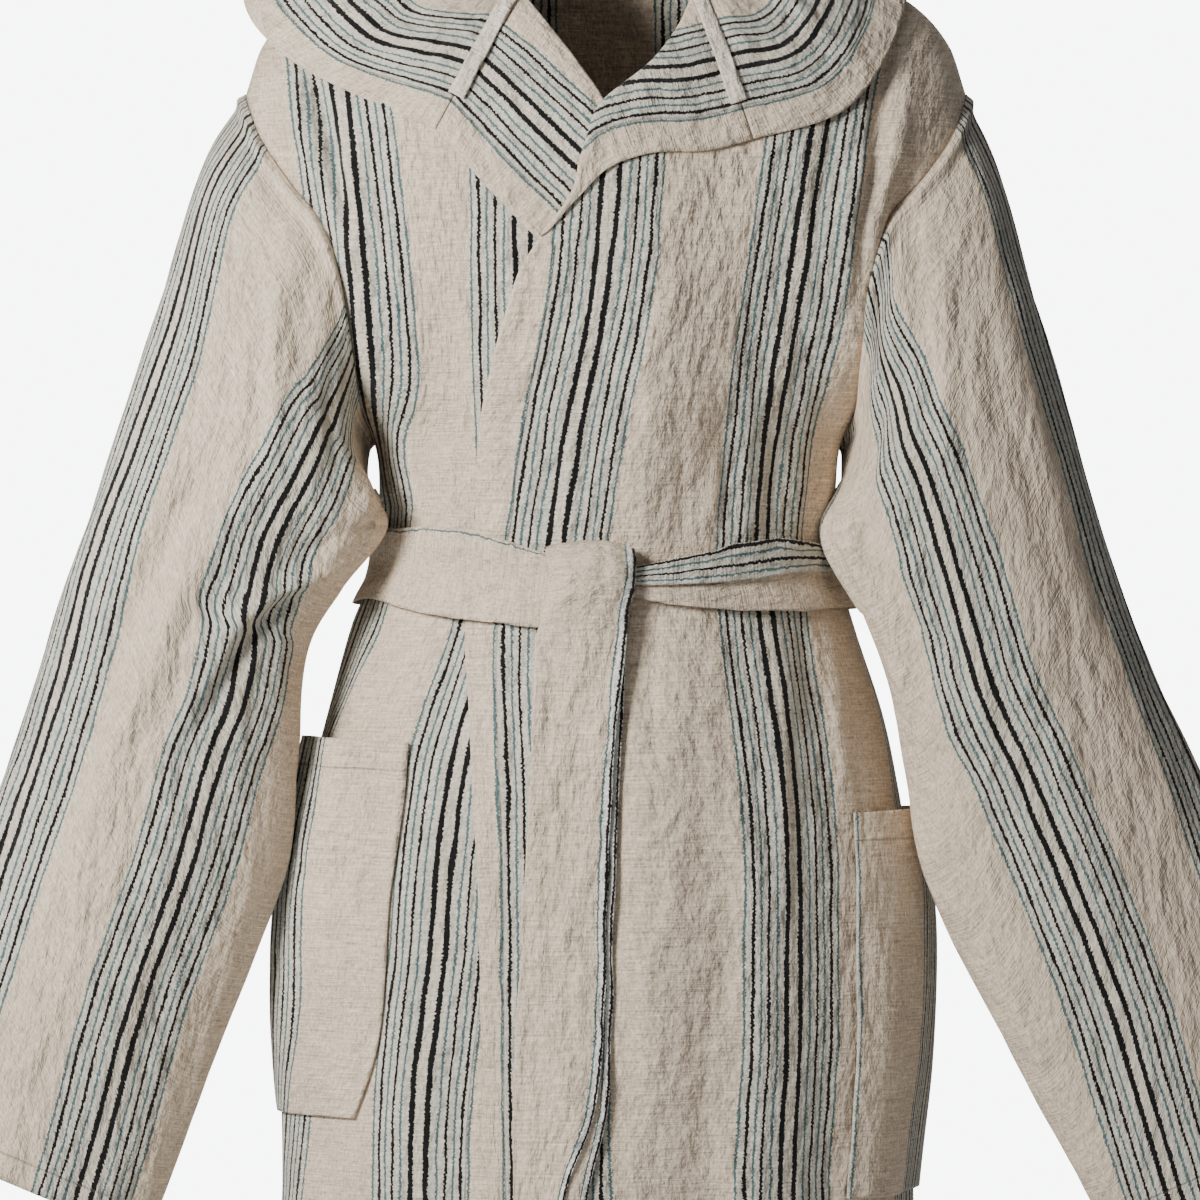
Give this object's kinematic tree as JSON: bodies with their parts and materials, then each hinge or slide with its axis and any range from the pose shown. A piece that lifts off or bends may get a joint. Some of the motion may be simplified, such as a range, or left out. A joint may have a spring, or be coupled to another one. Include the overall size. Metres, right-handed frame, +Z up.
{
  "type": "hooded wrap bathrobe",
  "caption": "Worn-shape hooded wrap bathrobe in striped flat-woven cotton, hood down over the shoulders, lapels turned out, wide sleeves, side pockets and a tied cloth belt.",
  "frame": {"origin": "midway between the wearer's shoulders, level with the shoulder seams just outside the neck", "axes": "+Z up, the front of the robe faces -Y, +X towards the wearer's left"},
  "size_m": [0.923, 0.3175, 1.2172],
  "materials": {
    "cloth": "matte, crinkled flat weave with blue and black warp stripes",
    "tape": "matte plain woven tape"
  },
  "bodies": {
    "root": {"back": "cloth", "front_over": "cloth", "front_under": "cloth", "sleeve_left": "cloth", "sleeve_right": "cloth", "hood": "cloth", "belt_wrap": "cloth", "belt_fold": "cloth", "belt_knot": "cloth", "belt_tail_front": "cloth", "belt_tail_behind": "cloth", "pocket_left": "cloth", "pocket_right": "cloth", "neck_tape_left": "tape", "neck_tape_right": "tape"}
  },
  "joints": []
}
